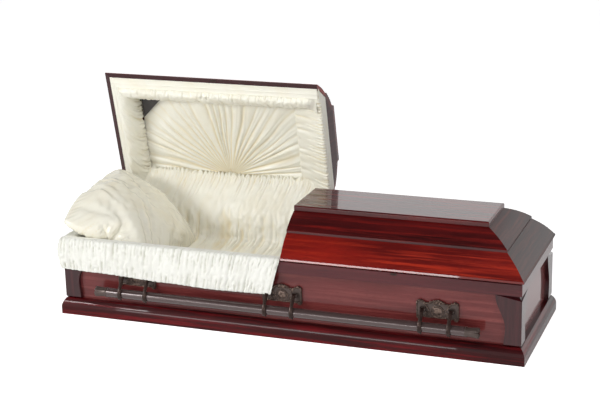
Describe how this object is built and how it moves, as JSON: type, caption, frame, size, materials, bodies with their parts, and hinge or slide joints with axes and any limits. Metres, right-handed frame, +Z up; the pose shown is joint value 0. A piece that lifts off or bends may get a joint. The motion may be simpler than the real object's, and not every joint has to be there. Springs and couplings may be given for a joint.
{
  "type": "funeral casket",
  "caption": "Half-couch hardwood casket with a hipped, split lid, moulded base, swing-bar handles and a padded, shirred cloth lining.",
  "frame": {"origin": "middle of the underside of the bottom board", "axes": "+X towards the foot end, along the length; -Y is the front, away from the hinges; +Z up"},
  "size_m": [2.11, 0.8511, 0.997],
  "materials": {
    "lacquered_wood": "red mahogany stain under high-gloss lacquer",
    "panel_wood": "lighter mahogany veneer, satin to gloss lacquer",
    "hardware": "dark antique bronze, cast and plated",
    "satin": "cream satin, padded and shirred",
    "crepe": "cream crepe, shirred and hemmed",
    "tag": "plain dark card"
  },
  "bodies": {
    "box": {"base_front": "lacquered_wood", "base_back": "lacquered_wood", "base_head_end": "lacquered_wood", "base_foot_end": "lacquered_wood", "bottom_board": "panel_wood", "panel_front": "panel_wood", "panel_back": "panel_wood", "panel_head_end": "panel_wood", "panel_foot_end": "panel_wood", "rail_front": "lacquered_wood", "rail_back": "lacquered_wood", "rail_head_end": "lacquered_wood", "rail_foot_end": "lacquered_wood", "post_front_head": "lacquered_wood", "post_front_foot": "lacquered_wood", "post_back_head": "lacquered_wood", "post_back_foot": "lacquered_wood", "hinge_rail_leaves": "hardware", "rail_latch": "hardware", "plate_front_head": "hardware", "plate_front_middle": "hardware", "plate_front_foot": "hardware", "plate_back_head": "hardware", "plate_back_middle": "hardware", "plate_back_foot": "hardware", "lining_back": "satin", "lining_front": "satin", "lining_ends": "satin", "mattress": "satin", "pillow": "satin", "skirt": "crepe"},
    "head_lid": {"head_lid_crown": "lacquered_wood", "head_lid_front": "lacquered_wood", "head_lid_back": "lacquered_wood", "head_lid_end": "lacquered_wood", "head_lid_header": "lacquered_wood", "head_lid_hinge_leaves": "hardware", "head_lid_catch": "hardware", "head_lid_surround": "satin", "head_lid_panel": "satin", "head_lid_tag": "tag"},
    "foot_lid": {"foot_lid_crown": "lacquered_wood", "foot_lid_front": "lacquered_wood", "foot_lid_back": "lacquered_wood", "foot_lid_end": "lacquered_wood", "foot_lid_header": "lacquered_wood", "foot_lid_hinge_leaves": "hardware", "foot_lid_lining": "satin"},
    "front_handle": {"arms_front_head": "hardware", "arms_front_middle": "hardware", "arms_front_foot": "hardware", "bar_front": "hardware", "tip_front_head": "hardware", "tip_front_foot": "hardware"},
    "back_handle": {"arms_back_head": "hardware", "arms_back_middle": "hardware", "arms_back_foot": "hardware", "bar_back": "hardware", "tip_back_head": "hardware", "tip_back_foot": "hardware"}
  },
  "joints": [
    {"name": "head_lid_hinge", "type": "hinge", "parent": "box", "child": "head_lid", "pos_m": [0, 0.336, 0.347], "axis": [-1, 0, 0], "range_deg": [-77, 0], "deforming": ["pillow"]},
    {"name": "foot_lid_hinge", "type": "hinge", "parent": "box", "child": "foot_lid", "pos_m": [0, 0.336, 0.347], "axis": [-1, 0, 0], "range_deg": [0, 77]},
    {"name": "front_handle_pivot", "type": "hinge", "parent": "box", "child": "front_handle", "pos_m": [0, -0.322, 0.196], "axis": [-1, 0, 0], "range_deg": [0, 60]},
    {"name": "back_handle_pivot", "type": "hinge", "parent": "box", "child": "back_handle", "pos_m": [0, 0.322, 0.196], "axis": [1, 0, 0], "range_deg": [0, 60]}
  ]
}
